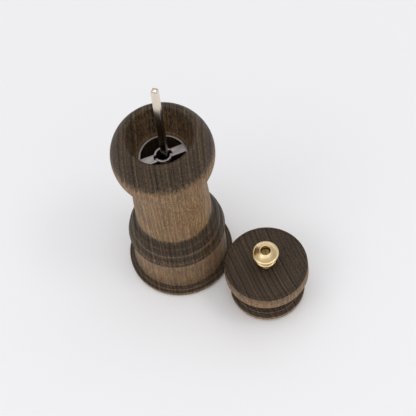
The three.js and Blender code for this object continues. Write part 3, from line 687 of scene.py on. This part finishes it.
# ---- Cap ----
# A second piece of the same oak, turned like a cotton reel: a thick top disc, a deep neck, and a
# lower disc with a spigot that drops into the mouth of the mill.
cap_low, cap_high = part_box("cap_wood")
cap_axis = ((cap_low[0] + cap_high[0]) / 2, (cap_low[1] + cap_high[1]) / 2)
POCKET_R = 11.8
POCKET_H = 3.5
SPIGOT_R = 15.7
SPIGOT_H = 3.0
LOWER_DISC = (21.1, 6.0)
LOWER_STEP = (18.9, 8.0)
CAP_NECK = (14.5, 14.5)
TOP_DISC_R = 23.3
TOP_EDGE_R = 22.8
TOP_DISC_Z = 22.4
TOP_EDGE_Z = 31.1
RIM_GROOVE_R = 21.0
CAP_TOP_Z = 31.6
BUSH_BORE_R = 3.9
BUSH_BORE_Z = 19.3
SHAFT_BORE_R = 3.0
cap_outline = [
    (POCKET_R, 0, 0.3),
    (SPIGOT_R, 0, 0.5),
    (SPIGOT_R, SPIGOT_H, 0.1),
    (LOWER_DISC[0], SPIGOT_H, 0.4),
    (LOWER_DISC[0], LOWER_DISC[1] - 0.3, 0.3),
    *bend(
        (LOWER_DISC[0] - 0.1, LOWER_DISC[1]),
        (LOWER_DISC[0] - 0.6, LOWER_DISC[1] + 0.9),
        (LOWER_STEP[0] + 1.2, LOWER_STEP[1] - 0.7),
        (LOWER_STEP[0] + 0.3, LOWER_STEP[1] - 0.5),
        steps=6,
    ),
    (LOWER_STEP[0] + 0.3, LOWER_STEP[1] - 0.4, 0),
    (LOWER_STEP[0] + 0.25, LOWER_STEP[1] + 0.3, 0.2),
    (LOWER_STEP[0] - 0.3, LOWER_STEP[1] + 0.5, 0.2),
    *bend(
        (LOWER_STEP[0] - 0.3, LOWER_STEP[1] + 0.5),
        (CAP_NECK[0] + 1.6, LOWER_STEP[1] + 1.4),
        (CAP_NECK[0], CAP_NECK[1] - 3.4),
        CAP_NECK,
        steps=10,
    ),
    (*CAP_NECK, 0),
    *bend(
        CAP_NECK,
        (CAP_NECK[0], CAP_NECK[1] + 4.4),
        (CAP_NECK[0] + 2.6, TOP_DISC_Z - 0.4),
        (TOP_DISC_R - 0.4, TOP_DISC_Z),
        steps=10,
    ),
    (TOP_DISC_R - 0.3, TOP_DISC_Z, 0.1),
    (TOP_DISC_R, TOP_DISC_Z + 0.3, 0.15),
    (TOP_EDGE_R, TOP_EDGE_Z, 0.7),
    (RIM_GROOVE_R + 0.35, TOP_EDGE_Z + 0.22, 0.1),
    (RIM_GROOVE_R + 0.2, TOP_EDGE_Z + 0.02, 0.05),
    (RIM_GROOVE_R - 0.15, TOP_EDGE_Z + 0.05, 0.05),
    (RIM_GROOVE_R - 0.3, TOP_EDGE_Z + 0.3, 0.1),
    *bend(
        (RIM_GROOVE_R - 0.5, TOP_EDGE_Z + 0.32),
        (14, CAP_TOP_Z - 0.05),
        (10, CAP_TOP_Z),
        (6, CAP_TOP_Z),
        steps=8,
    ),
    (BUSH_BORE_R, CAP_TOP_Z, 0.3),
    (BUSH_BORE_R, BUSH_BORE_Z, 0),
    (SHAFT_BORE_R, BUSH_BORE_Z, 0),
    (SHAFT_BORE_R, POCKET_H, 0.2),
    (POCKET_R, POCKET_H, 0),
]
cap_oak = stained_oak(
    "stained_oak_cap",
    axis=cap_axis,
    bore_r=4.0,
    foot_z=-10.0,
    pith=(180.0, 52.0),
    tilt=(-0.02, 0.02),
    seed=2,
    side=("#AE8D6B", "#6C5139", "#C4A27B"),
    top=("#423528", "#170F09", "#6A5238"),
    knot=(-20.0, 12.0, 5.0),
)
wooden_cap = turned("turned_cap", softened(cap_outline), cap_axis, WOOD_SEGMENTS)
place(wooden_cap, cap_oak, "cap", "oak", "cap_wood")

# ---- Knob ----
# Solid brass, turned and polished: a foot, a bead, a neck, and a thin flange with a coned face
# that rises to a rim round the hole. It screws onto the shaft and sets how fine the mill grinds.
knob_low, knob_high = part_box("brass_knob")
KNOB_Z = knob_low[2] / MM
KNOB_FOOT_R = 3.6
KNOB_BEAD = (5.8, KNOB_Z + 1.4)
KNOB_BEAD_H = 2.0
KNOB_NECK_R = 4.3
KNOB_FLANGE_R = 7.24
KNOB_FLANGE_Z = KNOB_Z + 8.2
KNOB_FLANGE_TOP_Z = KNOB_Z + 9.2
KNOB_TOP_Z = knob_high[2] / MM
KNOB_RIM_R = 3.3
KNOB_HOLE_R = 2.71
RING_LINE_R = 6.3
KNOB_SEGMENTS = 96
# Cycles a metre. Turning lines are half a millimetre apart, coarser than life so that they show,
# and the tarnish is in patches of 2 mm or so.
TURNING_SCALE = (90.0, 90.0, 2000.0)
TARNISH_SCALE = (420.0, 420.0, 420.0)


def polished_brass(name, dull, bright, rough_low, rough_high):
    """Brass, polished on the lathe: a warm mirror with faint turning lines and a little tarnish."""
    material, tree, shader = new_material(name, Metallic=1.0)
    coords = add(tree, "ShaderNodeTexCoord")
    lathe = add(tree, "ShaderNodeMapping", {"Vector": coords.outputs["Object"]}, Scale=TURNING_SCALE)
    lines = add(tree, "ShaderNodeTexNoise", {"Vector": lathe.outputs["Vector"]}, Scale=1.0, Detail=3.0)
    spread = add(tree, "ShaderNodeMapping", {"Vector": coords.outputs["Object"]}, Scale=TARNISH_SCALE)
    tarnish = add(tree, "ShaderNodeTexNoise", {"Vector": spread.outputs["Vector"]}, Scale=1.0, Detail=4.0)
    colour = add(
        tree,
        "ShaderNodeMix",
        {"Factor": tarnish.outputs["Fac"], "A": dull, "B": bright},
        data_type="RGBA",
    )
    tree.links.new(colour.outputs["Result"], shader.inputs["Base Color"])
    rough = add(
        tree,
        "ShaderNodeMapRange",
        {"Value": lines.outputs["Fac"]},
        From_Min=0.3,
        From_Max=0.7,
        To_Min=rough_low,
        To_Max=rough_high,
    )
    tree.links.new(rough.outputs["Result"], shader.inputs["Roughness"])
    bump = add(tree, "ShaderNodeBump", {"Height": lines.outputs["Fac"]}, Strength=0.15, Distance=0.00003)
    tree.links.new(bump.outputs["Normal"], shader.inputs["Normal"])
    return material


knob_brass = polished_brass("polished_brass_knob", "#DEBF86", "#FAE6BE", 0.20, 0.36)
knob_outline = [
    (KNOB_HOLE_R, KNOB_Z, 0.1),
    (KNOB_FOOT_R, KNOB_Z, 0.15),
    (KNOB_FOOT_R, KNOB_BEAD[1], 0.1),
    (KNOB_BEAD[0], KNOB_BEAD[1], 0.8),
    (KNOB_BEAD[0], KNOB_BEAD[1] + KNOB_BEAD_H, 0.8),
    (KNOB_NECK_R, KNOB_BEAD[1] + KNOB_BEAD_H + 0.2, 0.3),
    *bend(
        (KNOB_NECK_R, KNOB_BEAD[1] + KNOB_BEAD_H + 0.6),
        (KNOB_NECK_R, KNOB_FLANGE_Z - 1.6),
        (KNOB_NECK_R + 0.9, KNOB_FLANGE_Z - 0.4),
        (KNOB_FLANGE_R - 0.7, KNOB_FLANGE_Z),
        steps=8,
    ),
    (KNOB_FLANGE_R - 0.4, KNOB_FLANGE_Z, 0.2),
    (KNOB_FLANGE_R, KNOB_FLANGE_Z + 0.4, 0.3),
    (KNOB_FLANGE_R - 0.05, KNOB_FLANGE_TOP_Z - 0.3, 0.3),
    (KNOB_FLANGE_R - 0.5, KNOB_FLANGE_TOP_Z, 0.2),
    (RING_LINE_R + 0.1, KNOB_FLANGE_TOP_Z + 0.05, 0.05),
    (RING_LINE_R, KNOB_FLANGE_TOP_Z - 0.05, 0.05),
    (RING_LINE_R - 0.15, KNOB_FLANGE_TOP_Z + 0.15, 0.1),
    *bend(
        (RING_LINE_R - 0.15, KNOB_FLANGE_TOP_Z + 0.15),
        (RING_LINE_R - 1.0, KNOB_FLANGE_TOP_Z + 1.0),
        (KNOB_RIM_R + 0.9, KNOB_TOP_Z - 0.6),
        (KNOB_RIM_R, KNOB_TOP_Z - 0.15),
        steps=8,
    ),
    (KNOB_RIM_R - 0.1, KNOB_TOP_Z, 0.15),
    (KNOB_HOLE_R + 0.2, KNOB_TOP_Z, 0.15),
    (KNOB_HOLE_R, KNOB_TOP_Z - 0.3, 0.15),
]
knob = turned("turned_knob", softened(knob_outline), cap_axis, KNOB_SEGMENTS)
place(knob, knob_brass, "knob", "brass", "brass_knob")

# ---- Shaft ----
# A drawn square bar of bright steel that runs from the burr to above the cap, with its corners
# just broken and its tip filed round. It leans a little in the guide plate's loose hole.
shaft_low, shaft_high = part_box("shaft")
SHAFT_A = 3.2
SHAFT_TURN = math.radians(-24)
SHAFT_LEAN = math.radians(0.9)
LEAN_PIVOT_Z = 35.6
SHAFT_CORNER = 0.3
SHAFT_TIP = 1.6
TIP_ROUND = 1.3
FOOT_CHAMFER = 0.5
END_GAP = 0.05
CORNER_STEPS = 3
TIP_STEPS = 6
# Cycles a metre: lines a third of a millimetre wide, coarser than life, that run along the bar
DRAWN_SCALE = (3000, 3000, 60)
# Below a soft edge the bar is darkened with painted shade, down to this share of its colour
SHAFT_PAINTED_SHADE = 0.28
SHAFT_PAINTED_SHADE_EDGE = 3


def bright_steel(name, dark, bright, painted_shade_below):
    """Drawn steel: bright, with faint lines along the bar, and darkened with painted shade below this
    height.
    """
    material, tree, shader = new_material(name, Metallic=1.0)
    coords = add(tree, "ShaderNodeTexCoord")
    along = add(tree, "ShaderNodeMapping", {"Vector": coords.outputs["Object"]}, Scale=DRAWN_SCALE)
    lines = add(tree, "ShaderNodeTexNoise", {"Vector": along.outputs["Vector"]}, Scale=1.0, Detail=3.0)
    colour = add(
        tree,
        "ShaderNodeMix",
        {"Factor": lines.outputs["Fac"], "A": dark, "B": bright},
        data_type="RGBA",
    )
    height = add(tree, "ShaderNodeSeparateXYZ", {"Vector": coords.outputs["Object"]})
    # Painted shade: the steel is darker below the given height
    painted_shade = add(
        tree,
        "ShaderNodeMapRange",
        {"Value": height.outputs["Z"]},
        interpolation_type="SMOOTHSTEP",
        From_Min=(painted_shade_below - SHAFT_PAINTED_SHADE_EDGE) * MM,
        From_Max=(painted_shade_below + SHAFT_PAINTED_SHADE_EDGE) * MM,
        To_Min=SHAFT_PAINTED_SHADE,
    )
    tinted = add(
        tree,
        "ShaderNodeVectorMath",
        {0: colour.outputs["Result"], 1: painted_shade.outputs["Result"]},
        operation="MULTIPLY",
    )
    tree.links.new(tinted.outputs["Vector"], shader.inputs["Base Color"])
    rough = add(tree, "ShaderNodeMapRange", {"Value": lines.outputs["Fac"]}, To_Min=0.12, To_Max=0.30)
    tree.links.new(rough.outputs["Result"], shader.inputs["Roughness"])
    return material


def square_ring(bm, half, z):
    """A square loop with round corners, which get rounder as the loop gets smaller."""
    corner = min(SHAFT_CORNER + SHAFT_A / 2 - half, half)
    ring = []
    for quarter in range(4):
        middle = math.radians(90 * quarter + 45)
        centre = Vector((math.cos(middle), math.sin(middle))) * (half - corner) * math.sqrt(2)
        for n in range(CORNER_STEPS + 1):
            angle = math.radians(90 * quarter + 90 / CORNER_STEPS * n)
            point = centre + Vector((math.cos(angle), math.sin(angle))) * corner
            ring.append(bm.verts.new((point.x * MM, point.y * MM, z * MM)))
    return ring


bm = bmesh.new()
half_height = (shaft_high[2] - shaft_low[2]) / MM / 2 - END_GAP
tip_steps = [math.radians(90 / TIP_STEPS * n) for n in range(TIP_STEPS + 1)]
sections = [
    (SHAFT_A / 2 - FOOT_CHAMFER, -half_height),
    (SHAFT_A / 2, FOOT_CHAMFER - half_height),
    *(
        (SHAFT_A / 2 - TIP_ROUND * (1 - math.cos(t)), half_height - SHAFT_TIP * (1 - math.sin(t)))
        for t in tip_steps
    ),
]
rings = [square_ring(bm, half, z) for half, z in sections]
for lower, upper in zip(rings, rings[1:]):
    for n in range(len(lower)):
        bm.faces.new((lower[n - 1], lower[n], upper[n], upper[n - 1]))
bm.faces.new(reversed(rings[0]))
bm.faces.new(rings[-1])
bmesh.ops.rotate(bm, verts=bm.verts, cent=(0, 0, 0), matrix=Matrix.Rotation(SHAFT_TURN, 3, "Z"))
bmesh.ops.translate(bm, verts=bm.verts, vec=(*mill_axis, (shaft_low[2] + shaft_high[2]) / 2))
bmesh.ops.rotate(
    bm,
    verts=bm.verts,
    cent=(*mill_axis, LEAN_PIVOT_Z * MM),
    matrix=Matrix.Rotation(SHAFT_LEAN, 3, "Y"),
)
shaft = finished("square_shaft", bm, sharp_above=34)
# The shaft's steel is darker with painted shade below 142 mm
shaft_steel = bright_steel("drawn_steel", "#CDBFAE", "#FBF0E0", painted_shade_below=142.0)
place(shaft, shaft_steel, "spindle", "shaft_steel", "shaft")


# ---- Steel plates and screws ----
# The guide plate, flange, bar, bridge, washer, nut, collar and drive plate are pressed or turned
# mild steel, held by small screws. Each one keeps its own shape, with its cut edges just broken.
MOTTLE = (0.85, 1.1)
FLAT_LEVELS = (0.9, 0.99)
EDGE_BREAK = 0.12
SCREW_EDGE_BREAK = 0.08
FLAT_WITHIN = math.radians(1)
SHARP_ABOVE = math.radians(40)


def satin_steel(name, face, edge, rough_low, rough_high, grain_mm):
    """Pressed steel: satin on its flat faces, and bright where it is cut. Its grain is this wide."""
    material, tree, shader = new_material(name, Metallic=1.0)
    coords = add(tree, "ShaderNodeTexCoord")
    spread = add(
        tree,
        "ShaderNodeMapping",
        {"Vector": coords.outputs["Object"]},
        Scale=(1 / (grain_mm * MM),) * 3,
    )
    grain = add(tree, "ShaderNodeTexNoise", {"Vector": spread.outputs["Vector"]}, Scale=1.0, Detail=4.0)
    mottled = add(
        tree, "ShaderNodeMapRange", {"Value": grain.outputs["Fac"]}, To_Min=MOTTLE[0], To_Max=MOTTLE[1]
    )
    facing = add(tree, "ShaderNodeSeparateXYZ", {"Vector": coords.outputs["Normal"]})
    flatness = add(tree, "ShaderNodeMath", {0: facing.outputs["Z"]}, operation="ABSOLUTE")
    is_face = add(
        tree,
        "ShaderNodeMapRange",
        {"Value": flatness.outputs["Value"]},
        From_Min=FLAT_LEVELS[0],
        From_Max=FLAT_LEVELS[1],
    )
    colour = add(
        tree,
        "ShaderNodeMix",
        {"Factor": is_face.outputs["Result"], "A": edge, "B": face},
        data_type="RGBA",
    )
    tinted = add(
        tree,
        "ShaderNodeVectorMath",
        {0: colour.outputs["Result"], 1: mottled.outputs["Result"]},
        operation="MULTIPLY",
    )
    tree.links.new(tinted.outputs["Vector"], shader.inputs["Base Color"])
    rough = add(
        tree, "ShaderNodeMapRange", {"Value": grain.outputs["Fac"]}, To_Min=rough_low, To_Max=rough_high
    )
    tree.links.new(rough.outputs["Result"], shader.inputs["Roughness"])
    bump = add(tree, "ShaderNodeBump", {"Height": grain.outputs["Fac"]}, Strength=0.1, Distance=0.00003)
    tree.links.new(bump.outputs["Normal"], shader.inputs["Normal"])
    return material


def dressed(node, material, body, slot, edge=EDGE_BREAK):
    """A copy of a node's own solid with its sharp edges broken, which stands for the node."""
    bm = bmesh.new()
    bm.from_mesh(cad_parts[node].data)
    bmesh.ops.remove_doubles(bm, verts=bm.verts, dist=1e-6)
    bmesh.ops.dissolve_limit(bm, angle_limit=FLAT_WITHIN, verts=bm.verts, edges=bm.edges)
    sharp = [e for e in bm.edges if len(e.link_faces) == 2 and e.calc_face_angle() > SHARP_ABOVE]
    bmesh.ops.bevel(
        bm,
        geom=sharp,
        offset=edge * MM,
        segments=2,
        profile=0.5,
        affect="EDGES",
        material=-1,
        clamp_overlap=True,
    )
    bmesh.ops.triangulate(bm, faces=bm.faces)
    piece = finished(f"{node}_dressed", bm, sharp_above=35)
    place(piece, material, body, slot, node)


plate_steel = satin_steel("satin_steel_plate", "#B0A9A7", "#E8DCCB", 0.28, 0.46, grain_mm=0.5)
for node in ("guide_plate", "stator_flange", "bottom_bar", "bridge"):
    dressed(node, plate_steel, "mill_body", "plate_steel")
for node in ("bar_screw_1", "bar_screw_2", "flange_screw_1", "flange_screw_2"):
    dressed(node, plate_steel, "mill_body", "plate_steel", SCREW_EDGE_BREAK)
dressed("thrust_washer", plate_steel, "spring_seat", "plate_steel")
for node in ("rotor_nut", "shaft_collar"):
    dressed(node, plate_steel, "spindle", "plate_steel")
dressed("drive_plate", plate_steel, "cap", "plate_steel")
for node in ("drive_plate_screw_1", "drive_plate_screw_2"):
    dressed(node, plate_steel, "cap", "plate_steel", SCREW_EDGE_BREAK)

# ---- Burrs and their spring ----
# The burrs are hardened steel, grey and a little rough from their heat treatment. The outer one is
# pressed into the body, and the inner one turns with the shaft. The spring is wound from steel wire.
burr_steel = satin_steel("hardened_burr_steel", "#5C5A57", "#7A7672", 0.42, 0.62, grain_mm=0.8)
dressed("stator_ring", burr_steel, "mill_body", "burr_steel")
dressed("rotor_burr", burr_steel, "spindle", "burr_steel")
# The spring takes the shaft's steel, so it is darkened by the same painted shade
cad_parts["grinder_spring"].data.materials.clear()
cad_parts["grinder_spring"].data.materials.append(shaft_steel)

# ---- Brass bushes, washer and lock screw ----
# The bushes line the bridge and the cap, and the washer lies under the knob, all in the knob's
# brass. The lock screw sits deep in the knob's hole and is never polished, so it has gone brown.
LOCK_SCREW_EDGE_BREAK = 0.06
dressed("bridge_bush", knob_brass, "mill_body", "brass")
dressed("cap_bush", knob_brass, "cap_carrier", "brass")
dressed("knob_washer", knob_brass, "knob_seat", "brass")
screw_brass = polished_brass("aged_brass_screw", "#6E5A38", "#9A8458", 0.40, 0.60)
dressed("lock_screw", screw_brass, "knob", "brass", LOCK_SCREW_EDGE_BREAK)
